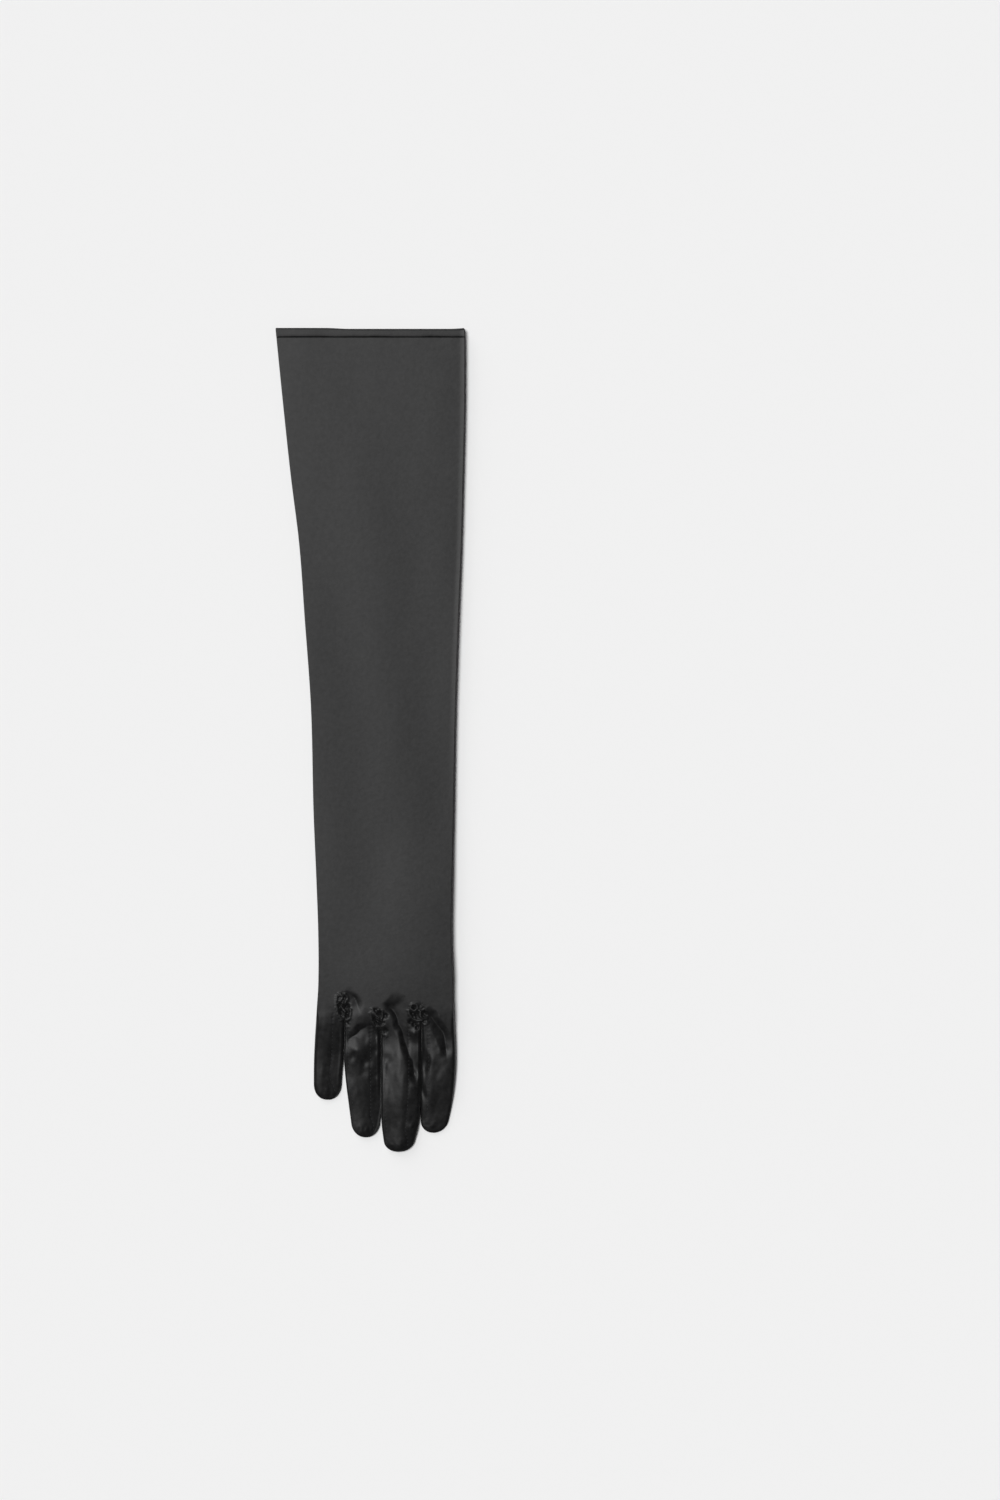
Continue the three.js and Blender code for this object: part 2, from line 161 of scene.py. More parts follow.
# The crotches between neighbouring fingers. Their fourchettes begin FOURCHETTE_APEX above them, under the
# knots, and are fully open after FOURCHETTE_OPEN. Over the last SEAM_TAPER of a seam, which ends short of
# the tip, they narrow to TAPERED_SHARE. No seam lies closer to its edge than LEAST_SEAM_OFFSET.
SLOTS = [
    dict(name="little_ring", x=-16.5, y=-182.0),
    dict(name="ring_middle", x=6.8, y=-188.0),
    dict(name="middle_index", x=33.0, y=-184.0),
]
FOURCHETTE_APEX = 18.0
FOURCHETTE_OPEN = 16.0
SEAM_SHORT_OF_TIP = 4.0
SEAM_TAPER = 12.0
TAPERED_SHARE = 0.45
LEAST_SEAM_OFFSET = 1.1

# The thumb lies folded under the palm and holds it up. Its section is a flattened round with these powers,
# and from each end its height grows faster than its width.
THUMB = dict(x=35.0, y=-104.0, turn=math.radians(-15), root=18.0, tip=-66.0, round=12.0, height=3.0)
THUMB_SECTION = dict(side_power=0.8, top_power=0.6, height_growth=1.4)
THUMB_STATIONS = table("y half", (18, 11.5), (0, 13), (-30, 12.2), (-66, 10))
# It lifts the cloth by the full height within clear of its middle line. At the folded edge the palm is
# lifted as little as the back, and all of its lift is there from full_shape of its own form on.
PALM_LIFT = dict(height=3.4, clear=15.5, ease=10.0, full_shape=0.8)
BACK_LIFT = dict(height=0.5, clear=2.0, ease=46.0)

# Folds of the back: each is a crease along a path, from which the cloth climbs to the path's left and
# right. A narrow side eases out, and one wider than BROAD climbs almost evenly. The crease sets in over
# FOLD_IN from the path's start and ends over FOLD_OUT from its end.
BROAD = 5.0
BROAD_POWER = 1.25
NARROW_POWER = 2.0
FOLD_IN = (-3, 5)
FOLD_OUT = (-6, 3)
FOLDS = table(
    "depth left right path",
    (1.0, 4.5, 14, [(-13.5, -162.0), (-9.3, -166.8), (-6.6, -174.5)]),
    (1.25, 4, 10, [(-13.8, -192.6), (-8.0, -187.4), (-2.2, -183.0)]),
    (1.9, 13, 4.6, [
        (10.6, -170.0), (15.8, -176.2), (18.9, -183.6), (20.8, -189.4),
        (23.1, -196.4), (24.6, -202.2), (26.6, -206.8), (28.8, -214.5),
    ]),
    (1.7, 5.2, 5.2, [
        (36.6, -174.6), (39.8, -179.0), (43.6, -184.0), (46.6, -188.4), (48.4, -195), (49, -203),
    ]),
)

# Small dents where the cloth is pinched, and pads where it bulges. A long one runs along the finger.
DENTS = table(
    "x y width depth long",
    (-11.2, -203.5, 2.8, 0.55), (-3.0, -206.8, 3.0, 0.6),
    (2.6, -200.2, 2.8, 0.6), (2.3, -216, 2.6, 0.6),
    (-4.1, -213.2, 2.6, 0.4), (11.2, -205.1, 2.6, 0.55),
    (28.1, -214.8, 2.6, 1.5), (34.6, -209.5, 2.6, 1.6, 3.2),
    (34.4, -226.5, 2.2, 1.1, 2.4), (-6.6, -199.6, 4.4, -0.85),
    (22.0, -214.0, 5.6, -0.95, 3.6), (8.6, -208.0, 2.6, 0.5, 4),
    (28.6, -189, 3.0, -0.9), (28.2, -222.5, 2.2, -0.4),
    (25.6, -248.4, 2.2, -0.5), (42.5, -204, 4.0, -0.4, 1.6),
)

# The knots of gathered cloth at the crotches, all within KNOT_REACH along the glove: curls of pinched cloth
# round dark hollows, and crushed cloth between them.
KNOT_REACH = (-200, -156)
CURLS = table(
    "height path",
    (1.0, [(-19.8, -162.6), (-18.2, -164.3), (-18.0, -165.7), (-19.2, -167.5)]),
    (1.0, [(-16.3, -163.0), (-14.8, -164.6), (-14.6, -166.2), (-15.9, -168.8)]),
    (0.9, [(-21.3, -164.4), (-21.9, -168.8), (-21.1, -173.6), (-20.1, -176.8), (-18.6, -180)]),
    (1.0, [(-17.3, -177.6), (-16.6, -179.0), (-15.0, -179.8), (-13.1, -178.1), (-12.6, -173.6)]),
    (0.4, [(-18.6, -171.2), (-15.9, -174.6)]),
    (1.1, [(7.7, -173.9), (8.0, -176.8), (7.3, -179.6)]),
    (1.0, [(1.4, -172.3), (3.0, -175.9), (5.6, -178.3)]),
    (0.8, [(0.2, -174.9), (1.2, -180), (2.8, -183.9), (4.3, -187.1), (4.9, -194.1)]),
    (0.5, [(4.4, -184.4), (7.6, -184.2), (9.2, -183.4)]),
    (0.7, [(7.4, -189.3), (10.3, -190.3)]),
    (0.9, [
        (27.0, -169.6), (28.6, -169.2), (30.2, -170.6), (30.3, -172.4),
        (28.6, -173.8), (26.7, -173.1), (26.1, -171.3), (27.0, -169.6),
    ]),
    (1.0, [(24.5, -173.6), (25.2, -176.1), (27.1, -178.7), (29.7, -180), (32.3, -180.4)]),
    (1.1, [(32.1, -174.3), (32.3, -177.4), (34.2, -178.9), (36.6, -178.6)]),
    (0.5, [(33.0, -182.4), (35.2, -182.8), (37.2, -181.6)]),
)
# A curl has steep sides, the steeper the higher CURL_SQUARE is.
CURL_HEIGHT = 0.25
CURL_WIDTH = 0.86
CURL_SQUARE = 7
# Crushed cloth fills each knot's oval out to clear of its half widths and is gone at end of them.
CRUSHED = dict(height=0.36, middle=0.6, sunk=0.15, clear=0.55, end=1.05)
KNOTS = table(
    "x y across along",
    (-17.3, -171.0, 5.2, 10.5), (5.0, -180.5, 5.2, 9.5), (30.5, -176.0, 7.0, 8.5),
)
HOLLOWS = table(
    "x y width depth",
    (-19.6, -170.2, 1.0, 1.3), (-15.3, -171.1, 1.6, 1.8), (-13.9, -174.6, 1.1, 1.2),
    (-15.1, -177.0, 1.0, 1.5), (-19.0, -175.4, 1.0, 1.2), (-17.2, -173.6, 1.3, 1.3),
    (-17.0, -165.6, 0.9, 1.0), (-15.4, -181.9, 1.2, 0.9), (5.9, -175.6, 1.2, 2.3),
    (3.6, -179.9, 1.8, 2.6), (6.2, -181.4, 1.4, 2.3), (9.6, -177.0, 1.4, 1.2),
    (6.4, -186.6, 1.2, 1.5), (9.4, -186.6, 1.3, 1.2), (3.0, -173.4, 0.9, 0.8),
    (28.4, -171.6, 0.9, 1.7), (29.8, -176.3, 1.7, 1.9), (26.9, -175.5, 1.0, 1.0),
    (34.6, -175.6, 1.3, 1.7), (34.6, -180.7, 0.8, 0.7), (26.0, -181.0, 1.1, 1.4),
    (28.3, -182.4, 1.2, 1.6), (30.3, -184.4, 1.1, 1.3),
)

# The puckers beside a finger's seam, from the fourchette's apex down to just short of the tip. Their pitch
# and their strength drift slowly along it.
PUCKER = dict(width=0.9, sunk=0.1, height=0.045, start=8, full=16, stop=5)
PITCH_DRIFT = dict(turn=0.8, length=5.1)
STRENGTH_DRIFT = dict(middle=0.7, swing=0.3, length=4.7)

# The waves in the cloth: their height and length, how much closer they lie across the glove and along it
# where that isn't 1, and how many plain waves make them up.
WAVES = dict(
    sleeve_slow=dict(height=0.12, wavelength=70, across=1.2, lengthwise=0.45, count=7, seed=11),
    sleeve_short=dict(height=0.02, wavelength=22, lengthwise=0.8, count=9, seed=12),
    crumple_broad=dict(height=0.19, wavelength=13, lengthwise=0.5, count=9, seed=41),
    crumple_small=dict(height=0.022, wavelength=5, lengthwise=0.5, count=9, seed=51),
    crinkle=dict(height=0.025, wavelength=5, lengthwise=0.7, count=12, seed=21),
    tip_crinkle=dict(height=0.07, wavelength=3.4, count=8, seed=31),
    crushed=dict(height=1, wavelength=3.1, count=9, seed=71),
)
# Where along the glove the sleeve's waves die out and the fingers' grow, and how far from a tip its
# crinkles do.
SLEEVE_WAVES_FADE = (-165, -60)
CRUMPLE_GROWS = (-196, -172)
CRINKLE_GROWS = (-186, -162)
TIP_PINCH = (12, 3)
# How far the folds and the knots stray from their paths.
FOLDS_STRAY = dict(far=0.45, wavelength=9, count=6, seed=81)
KNOTS_STRAY = dict(far=0.22, wavelength=2.6, count=6, seed=73)

# The hem lies from HEM_LOW_Y up to the cuff, and the sleeve's end goes in under it by the tuck's depth.
HEM_LOW_Y = 259.1
TUCK = dict(depth=0.42, start=-0.55, full=0.4)
# The hem's section runs up its face to the cuff and back down inside: how far up from the low edge (reach),
# and how far in from the cloth's face (inset). Right of left, the back's hem is shorter by palm_peeks.
HEM_SECTION = table(
    "reach inset",
    (0.0, 0.4), (0.15, 0.2), (0.4, 0.07), (0.75, 0.0), (2.4, 0.0),
    (4.2, 0.0), (5.1, 0.02), (5.6, 0.12), (5.9, 0.42), (5.6, 0.85),
    (5.1, 1.0), (3.0, 1.0), (0.6, 1.0), (0.1, 0.85),
)
HEM = dict(length=5.9, palm_peeks=0.8, left=-30, right=-8)
HEM_WAVES = table("height length start", (0.12, 6.3, 1), (0.08, 2.9, 0))
# Where the back and the palm nearly meet, the insets shrink to this share for each millimetre of the gap.
HEM_INSIDE = 0.42

# How finely the cloth is divided: rows near the hem's low edge, then rows a step apart down to SPLIT_Y, and
# from there each finger's own. Columns crowd towards a finger's sides.
HEM_ROWS = (1.2, 0.4, 0.0, -0.25, -0.55, -1.2, -2.5)
ROW_STEPS = [
    dict(start=HEM_LOW_Y - 5, end=-130, step=11.0),
    dict(start=-130, end=-160, step=1.6),
    dict(start=-160, end=-192, step=0.33),
]
SPLIT_Y = ROW_STEPS[-1]["end"]
FINGER_STEP = 0.9
TIP_ROWS = 15
UNDER_COLUMNS = (4, 5, 4)
COLUMN_CROWDING = 1.4
THUMB_MESH = dict(step=6, tip_rows=6, root_rows=3, around=40)

STITCH = dict(pitch=2.4, length=1.5, radius=0.16, sideways=0.3, below_crotch=2)

# The floor, the lights and the camera. Its frame is the photograph's, with pixels of PIXEL at this level.
FLOOR_METRES = 60
SKY_STRENGTH = 0.06
SUNS = [
    dict(name="overhead", place=(-1.35, 0.8, 5.0), degrees=24, strength=2.78),
    dict(name="far", place=(-2.6, 4.2, 1.9), degrees=44, strength=0.95),
]
PIXEL = 0.6432
CAMERA = dict(x=83.39, y=-6.34, level=4, long_side=1500 * PIXEL, lens=85.0, film=36.0)
TINY = 1e-9


# Curves and shapes in the plane

def smooth(value, low, high):
    """0 up to low, 1 from high on, and an even S between them."""
    share = np.clip((np.asarray(value, float) - low) / (high - low), 0, 1)
    return share * share * (3 - 2 * share)


def mix(a, b, share):
    """a at share 0, b at share 1."""
    return a + (b - a) * share


def along(rows, y, name):
    """A column of a table at y, on a smooth curve through its rows, which run towards -Y."""
    at = -np.array([row["y"] for row in rows], float)
    value = np.array([row[name] for row in rows], float)
    slope = np.gradient(value, at)
    where = np.clip(-np.asarray(y, float), at[0], at[-1])
    i = np.clip(np.searchsorted(at, where, side="right") - 1, 0, len(at) - 2)
    span = at[i + 1] - at[i]
    t = (where - at[i]) / span
    bend = slope[i] * t * (1 - t) ** 2 - slope[i + 1] * t * t * (1 - t)
    return mix(value[i], value[i + 1], t * t * (3 - 2 * t)) + span * bend


def to_path(x, y, path):
    """How far each point lies to the left of a path, how far along it, and the path's length."""
    nearest = np.full(np.shape(x), np.inf)
    side = np.zeros(np.shape(x))
    place = np.zeros(np.shape(x))
    start = 0.0
    last = len(path) - 2
    for i, (a, b) in enumerate(zip(path[:-1], path[1:])):
        dx, dy = b[0] - a[0], b[1] - a[1]
        length = math.hypot(dx, dy)
        share = ((x - a[0]) * dx + (y - a[1]) * dy) / length**2
        held = np.clip(share, -np.inf if i == 0 else 0, np.inf if i == last else 1)
        inside = np.clip(share, 0, 1)
        away = np.hypot(x - a[0] - inside * dx, y - a[1] - inside * dy)
        left = ((y - a[1]) * dx - (x - a[0]) * dy) / length
        off = np.hypot(x - a[0] - held * dx, y - a[1] - held * dy)
        closer = away < nearest
        nearest = np.where(closer, away, nearest)
        side = np.where(closer, np.sign(left) * off, side)
        place = np.where(closer, start + held * length, place)
        start += length
    return side, place, start


def rounded_path(path, steps=4):
    """A smooth curve through the points of a path."""
    rows = [dict(y=-float(i), px=point[0], py=point[1]) for i, point in enumerate(path)]
    at = -np.linspace(0, len(path) - 1, steps * (len(path) - 1) + 1)
    return list(zip(along(rows, at, "px"), along(rows, at, "py")))


def ripples(x, y, wavelength, count, seed):
    """Smooth even noise of about one wavelength: a sum of plain waves in all directions."""
    random = np.random.default_rng(seed)
    total = np.zeros(np.broadcast(x, y).shape)
    for _ in range(count):
        angle = random.uniform(0, 2 * math.pi)
        turn = 2 * math.pi / (wavelength * random.uniform(0.7, 1.4))
        total += np.sin(turn * (x * math.cos(angle) + y * math.sin(angle)) + random.uniform(0, 2 * math.pi))
    return total / math.sqrt(count)


def waves(name, x, y, finger=0):
    """One of the kinds of waves in the cloth, which differ from finger to finger."""
    row = WAVES[name]
    x, y = x * row.get("across", 1), y * row.get("lengthwise", 1)
    return row["height"] * ripples(x, y, row["wavelength"], row["count"], row["seed"] + finger)


def strayed(x, y, far, wavelength, count, seed):
    """The same places moved about a little, so that what is laid out on them gets uneven edges."""
    moved_x = x + far * ripples(x, y, wavelength, count, seed)
    return moved_x, y + far * ripples(x, y, wavelength, count, seed + 1)


# The outline of the hand and of each finger

def slot_line(slot, y):
    """The line between two neighbouring fingers, carried on up the sleeve at its share of the width."""
    def between(where):
        right = along(FINGERS[slot]["edges"], where, "right")
        return (right + along(FINGERS[slot + 1]["edges"], where, "left")) / 2

    left = along(BODY_STATIONS, y, "left")
    right = along(BODY_STATIONS, y, "right")
    start_left = along(BODY_STATIONS, KNUCKLE_Y, "left")
    start_right = along(BODY_STATIONS, KNUCKLE_Y, "right")
    share = (between(KNUCKLE_Y) - start_left) / (start_right - start_left)
    return np.where(np.asarray(y) > KNUCKLE_Y, mix(left, right, share), between(y))


def has_slot(finger, side):
    """Whether a finger has a neighbour on its left (0) or right (1)."""
    return 0 <= finger - 1 + side < len(SLOTS)


def parted(crotch, y, change):
    """How complete a change is at y, which sets in where the fingers part."""
    return smooth(crotch + change["above"] - y, 0, change["over"])


def finger_edge(finger, side, y):
    """The left (0) or right (1) edge of a finger's strip of the cloth at y."""
    name = ("left", "right")[side]
    own = along(FINGERS[finger]["edges"], y, name)
    if not has_slot(finger, side):
        return mix(along(BODY_STATIONS, y, name), own, smooth(-np.asarray(y), -KNUCKLE_Y, -OWN_EDGE_Y))
    slot = finger - 1 + side
    return mix(slot_line(slot, y), own, parted(SLOTS[slot]["y"], y, EDGES_PART))


def tip_share(finger, y):
    """How wide a finger is at y beside its width before its tip is rounded."""
    rest = 1 - np.clip((np.asarray(y) - FINGERS[finger]["tip"]) / FINGERS[finger]["round_tip"], 0, 1)
    return (1 - rest**ROUND_EDGE) ** (1 / ROUND_EDGE)


def seam_offset(finger, side, layer, y):
    """How far in from the finger's edge a seam lies on the back (over) or the palm (under)."""
    full = FINGERS[finger][layer][side]
    if not has_slot(finger, side):
        return full * np.ones_like(y)
    crotch = SLOTS[finger - 1 + side]["y"]
    opened = np.sin(np.clip((crotch + FOURCHETTE_APEX - y) / FOURCHETTE_OPEN, 0, 1) * math.pi / 2)
    end = FINGERS[finger]["tip"] + SEAM_SHORT_OF_TIP
    closing = smooth(-y, -end - SEAM_TAPER, -end)
    return np.maximum(full * opened * mix(1, TAPERED_SHARE, closing), LEAST_SEAM_OFFSET)


def seam_line(finger, side, layer, y):
    """The x of a seam, drawn in towards the finger's middle where the tip is round."""
    centre = (finger_edge(finger, 0, y) + finger_edge(finger, 1, y)) / 2
    inward = 1 - 2 * side
    seam = finger_edge(finger, side, y) + inward * seam_offset(finger, side, layer, y)
    return mix(centre, seam, tip_share(finger, y))


def crotch_y(x):
    """The crotch's place along the glove, eased from slot to slot."""
    first, second, third = SLOTS
    y = mix(first["y"], second["y"], smooth(x, first["x"], second["x"]))
    return mix(y, third["y"], smooth(x, second["x"], third["x"]))


# The height of the cloth above the surface

def thumb_line():
    """The middle line of the round part of the thumb, from its root to its tip."""
    turn = THUMB["turn"]
    line = []
    for reach in (THUMB["root"] - THUMB["round"], THUMB["tip"] + THUMB["round"]):
        line.append((THUMB["x"] - reach * math.sin(turn), THUMB["y"] + reach * math.cos(turn)))
    return line


def thumb_lift(x, y, lift):
    """How far the thumb underneath holds the cloth up."""
    (ax, ay), (bx, by) = thumb_line()
    dx, dy = bx - ax, by - ay
    share = np.clip(((x - ax) * dx + (y - ay) * dy) / (dx * dx + dy * dy), 0, 1)
    away = np.hypot(x - ax - share * dx, y - ay - share * dy)
    return lift["height"] * (1 - smooth(away, lift["clear"], lift["clear"] + lift["ease"]))


def folds(x, y):
    """The folds, dents and pads of the back."""
    total = np.zeros_like(x)
    x, y = strayed(x, y, **FOLDS_STRAY)
    for row in FOLDS:
        side, place, length = to_path(x, y, rounded_path(row["path"]))
        ends = smooth(place, *FOLD_IN) * (1 - smooth(place, length + FOLD_OUT[0], length + FOLD_OUT[1]))
        width = np.where(side > 0, row["left"], row["right"])
        power = np.where(width > BROAD, BROAD_POWER, NARROW_POWER)
        total -= row["depth"] * ends * (1 - np.clip(np.abs(side) / width, 0, 1)) ** power
    for row in DENTS:
        away = np.hypot(x - row["x"], (y - row["y"]) / row.get("long", 1)) / row["width"]
        total -= row["depth"] * np.exp(-(away**2))
    return total


def sleeve_waves(x, y):
    """The slow waves of the long sleeve, which ease out towards the fingers."""
    return (waves("sleeve_slow", x, y) + waves("sleeve_short", x, y)) * smooth(y, *SLEEVE_WAVES_FADE)


def crumple(finger, x, y):
    """The uneven bulging of the empty fingers."""
    bulging = waves("crumple_broad", x, y, finger) + waves("crumple_small", x, y, finger)
    return bulging * (1 - smooth(y, *CRUMPLE_GROWS))


def roll(away, width, square=ROUND_EDGE):
    """The curve of a folded edge: 0 at the edge, 1 from its width on."""
    return (1 - (1 - np.clip(away / width, 0, 1)) ** square) ** (1 / square)


def body_roll(x, y, width, square):
    """1 on the flat of the sleeve and the hand, down to 0 in a curve at the two folded edges."""
    left = finger_edge(0, 0, y)
    right = finger_edge(len(FINGERS) - 1, 1, y)
    return roll(x - left, width, square) * roll(right - x, width, square)


def finger_roll(finger, share, half, y, rolls):
    """The same across one finger, whose sides towards its neighbours fall away only near the crotches."""
    shape = np.ones_like(share)
    for side, away in ((0, (1 + share) * half), (1, (1 - share) * half)):
        fallen = 1.0
        if has_slot(finger, side):
            fallen = parted(SLOTS[finger - 1 + side]["y"], y, SIDES_FALL)
        shape = shape * mix(1, roll(away, rolls[side]), fallen)
    return shape


def side_ridge(finger, share, half, y):
    """The narrow ridge beside the slit at a finger's right, which ends where the slit opens."""
    if not has_slot(finger, 1):
        return np.zeros_like(share)
    below = SLOTS[finger]["y"] - y
    there = smooth(below, RIDGE["start"], RIDGE["full"]) * (1 - smooth(below, RIDGE["fade"], RIDGE["end"]))
    away = (1 - share) * half
    return RIDGE["height"] * there * np.exp(-(((away - RIDGE["inward"]) / RIDGE["width"]) ** 2))


def crest_drop(finger, share, y):
    """How far the back of a finger lies below its top line."""
    crest, falls = FINGERS[finger]["crest"], FINGERS[finger]["falls"]
    across = (1 + share) / 2
    left = falls[0] * np.clip((crest - across) / crest, 0, 1) ** CREST_POWER
    right = falls[1] * np.clip((across - crest) / (1 - crest), 0, 1) ** CREST_POWER
    centre = (finger_edge(finger, 0, y) + finger_edge(finger, 1, y)) / 2
    joined = (1 - parted(crotch_y(centre), y, CRESTS_RISE)) * np.abs(share) ** JOINED_POWER
    return (left + right) * (1 - joined)


def cloth_height(finger, layer, x, y):
    """The height of one layer of a finger's strip of cloth over its points."""
    left, right = finger_edge(finger, 0, y), finger_edge(finger, 1, y)
    centre = (left + right) / 2
    tip = tip_share(finger, y)
    half = (right - left) / 2 * tip
    share = np.clip((x - centre) / np.maximum(half, TINY), -1, 1)
    upper = layer == "over"
    rolls = FINGERS[finger]["rolls"] if upper else (FINGER_UNDER_ROLL, FINGER_UNDER_ROLL)
    finger_shape = finger_roll(finger, share, half, y, rolls) * np.maximum(tip, TIP_FLOOR)
    body_shape = body_roll(x, y, **EDGE_ROLLS[layer])
    shape = mix(body_shape, finger_shape, parted(crotch_y(x), y, SHAPE_TURNS))

    turned = parted(crotch_y(x), y, HEIGHT_TURNS)
    height = along(FINGERS[finger]["tops"], y, "height")
    edge = mix(along(BODY_STATIONS, y, "height") * FOLD_SHARE, height * FINGER_FOLD_SHARE, turned)
    full = mix(along(BODY_STATIONS, y, "height"), height - crest_drop(finger, share, y), turned)
    full = np.maximum(full, edge)
    relief = shape * fine_relief(finger, layer, x, y)
    lifted = thumb_lift(x, y, BACK_LIFT)
    if not upper:
        lifted = mix(lifted, thumb_lift(x, y, PALM_LIFT), smooth(shape, 0, PALM_LIFT["full_shape"]))
        return np.maximum(edge * (1 - shape) + lifted - relief, 0)
    inward = np.clip(finger_edge(len(FINGERS) - 1, 1, y) - x, 0, None)
    rim = RIM["height"] * np.clip(1 - inward / RIM["width"], 0, 1) ** 2
    rim = rim * smooth(y, RIM["start"], RIM["full"])
    uneven = folds(x, y) + sleeve_waves(x, y) + crumple(finger, x, y) + rim
    uneven += side_ridge(finger, share, half, y)
    return edge + (full - edge) * shape + lifted + shape * uneven + relief


# The fine relief of the cloth

def knots(x, y):
    """The gathered knots at the crotches."""
    total = np.zeros_like(x)
    near = (y > KNOT_REACH[0]) & (y < KNOT_REACH[1])
    px, py = x[near], y[near]
    raised = np.zeros_like(px)
    crushed = CRUSHED["height"] * (np.abs(waves("crushed", px, py)) - CRUSHED["middle"]) - CRUSHED["sunk"]
    px, py = strayed(px, py, **KNOTS_STRAY)
    for row in KNOTS:
        away = np.hypot((px - row["x"]) / row["across"], (py - row["y"]) / row["along"])
        raised += crushed * (1 - smooth(away, CRUSHED["clear"], CRUSHED["end"]))
    for row in HOLLOWS:
        away = np.hypot(px - row["x"], py - row["y"]) / row["width"]
        raised -= row["depth"] * np.exp(-(away**2))
    for row in CURLS:
        side, place, length = to_path(px, py, rounded_path(row["path"]))
        away = np.hypot(side, np.maximum(np.maximum(-place, place - length), 0))
        ridge = np.exp(-((away / CURL_WIDTH) ** CURL_SQUARE))
        raised = mix(raised, CURL_HEIGHT * row["height"], ridge)
    total[near] = raised
    return total


def seam_relief(finger, layer, x, y):
    """The puckers that the thread pulls beside each seam of a finger."""
    total = np.zeros_like(x)
    for side in (0, 1):
        if not has_slot(finger, side):
            continue
        crotch = SLOTS[finger - 1 + side]["y"]
        tip = FINGERS[finger]["tip"]
        apart = np.abs(x - seam_line(finger, side, layer, y))
        begun = smooth(crotch + FOURCHETTE_APEX - y, PUCKER["start"], PUCKER["full"])
        sewn = begun * (1 - smooth(-y, -tip - PUCKER["stop"], -tip))
        drift = PITCH_DRIFT["turn"] * np.sin(y / PITCH_DRIFT["length"] + finger)
        pull = np.sin(2 * math.pi * y / STITCH["pitch"] + drift)
        swing = STRENGTH_DRIFT["swing"] * np.sin(y / STRENGTH_DRIFT["length"] + 2 * finger + side)
        raised = (STRENGTH_DRIFT["middle"] + swing) * (PUCKER["height"] * pull - PUCKER["sunk"])
        total += sewn * raised * np.exp(-((apart / PUCKER["width"]) ** 2))
    return total


def fine_relief(finger, layer, x, y):
    """All that is raised on or pressed into one layer of a finger's strip."""
    tip = FINGERS[finger]["tip"]
    pinch = smooth(-y, -tip - TIP_PINCH[0], -tip - TIP_PINCH[1])
    crinkle = waves("crinkle", x, y, finger) * (1 - smooth(y, *CRINKLE_GROWS))
    total = crinkle + waves("tip_crinkle", x, y, finger) * pinch + seam_relief(finger, layer, x, y)
    if layer == "over":
        total = total + knots(x, y)
    return total


# The grid of the cloth: one row across the whole glove above the crotches, one per finger below them

def spaced(start, end, step):
    """Even places from start to end, no more than a step apart."""
    return np.linspace(start, end, max(int(math.ceil(abs(end - start) / step)), 1) + 1)


def shared_rows():
    """The rows above the split, one of which lies at each crotch."""
    rows = HEM_LOW_Y + np.array(HEM_ROWS)
    for row in ROW_STEPS:
        new = spaced(**row)
        rows = np.concatenate([rows, new[new < rows[-1]]])
    for slot in SLOTS:
        rows[np.argmin(np.abs(rows - slot["y"]))] = slot["y"]
    return rows


def finger_rows(finger):
    """Rows from the split to just short of the tip, closer together where the tip is round."""
    tip, reach = FINGERS[finger]["tip"], FINGERS[finger]["round_tip"]
    turn = np.linspace(0, math.pi / 2, TIP_ROWS + 2)[1:-1]
    rounded = tip + reach * (1 - np.sin(turn))
    return np.concatenate([spaced(SPLIT_Y, tip + reach, FINGER_STEP)[1:], rounded])


def column_counts(finger, layer):
    """How many columns of faces lie left of, between and right of the seams."""
    return FINGERS[finger]["columns"] if layer == "over" else UNDER_COLUMNS


def strip_columns(finger, layer, y):
    """The x of each column of one layer of a finger's strip."""
    first, middles, last = column_counts(finger, layer)
    left, right = finger_edge(finger, 0, y), finger_edge(finger, 1, y)
    in_left = seam_offset(finger, 0, layer, y)
    in_right = seam_offset(finger, 1, layer, y)
    even = np.linspace(0, 1, middles + 1)[1:-1]
    columns = np.concatenate([
        left[:, None] + in_left[:, None] * np.linspace(0, 1, first + 1) ** COLUMN_CROWDING,
        mix((left + in_left)[:, None], (right - in_right)[:, None], even),
        right[:, None] - in_right[:, None] * np.linspace(1, 0, last + 1) ** COLUMN_CROWDING,
    ], axis=1)
    centre = ((left + right) / 2)[:, None]
    return mix(centre, columns, tip_share(finger, y)[:, None])


class Cloth:
    """The glove's cloth as points, named faces and the seams' lines, built strip by strip."""

    def __init__(self):
        self.points = []
        self.faces = {}
        self.seams = []

    def add_points(self, x, y, z):
        """Adds points and returns their numbers."""
        first = len(self.points)
        self.points.extend(zip(x, y, z))
        return np.arange(first, first + len(x))

    def add_faces(self, name, upper, lower, facing):
        """The faces between two neighbouring rows of points. facing is 1 on the back, -1 on the palm."""
        quads = np.stack([upper[:-1], lower[:-1], lower[1:], upper[1:]], axis=1)
        if facing < 0:
            quads = quads[:, ::-1]
        for quad in quads.tolist():
            kept = list(dict.fromkeys(quad))
            if len(kept) > 2:
                self.faces.setdefault(name, []).append(kept)


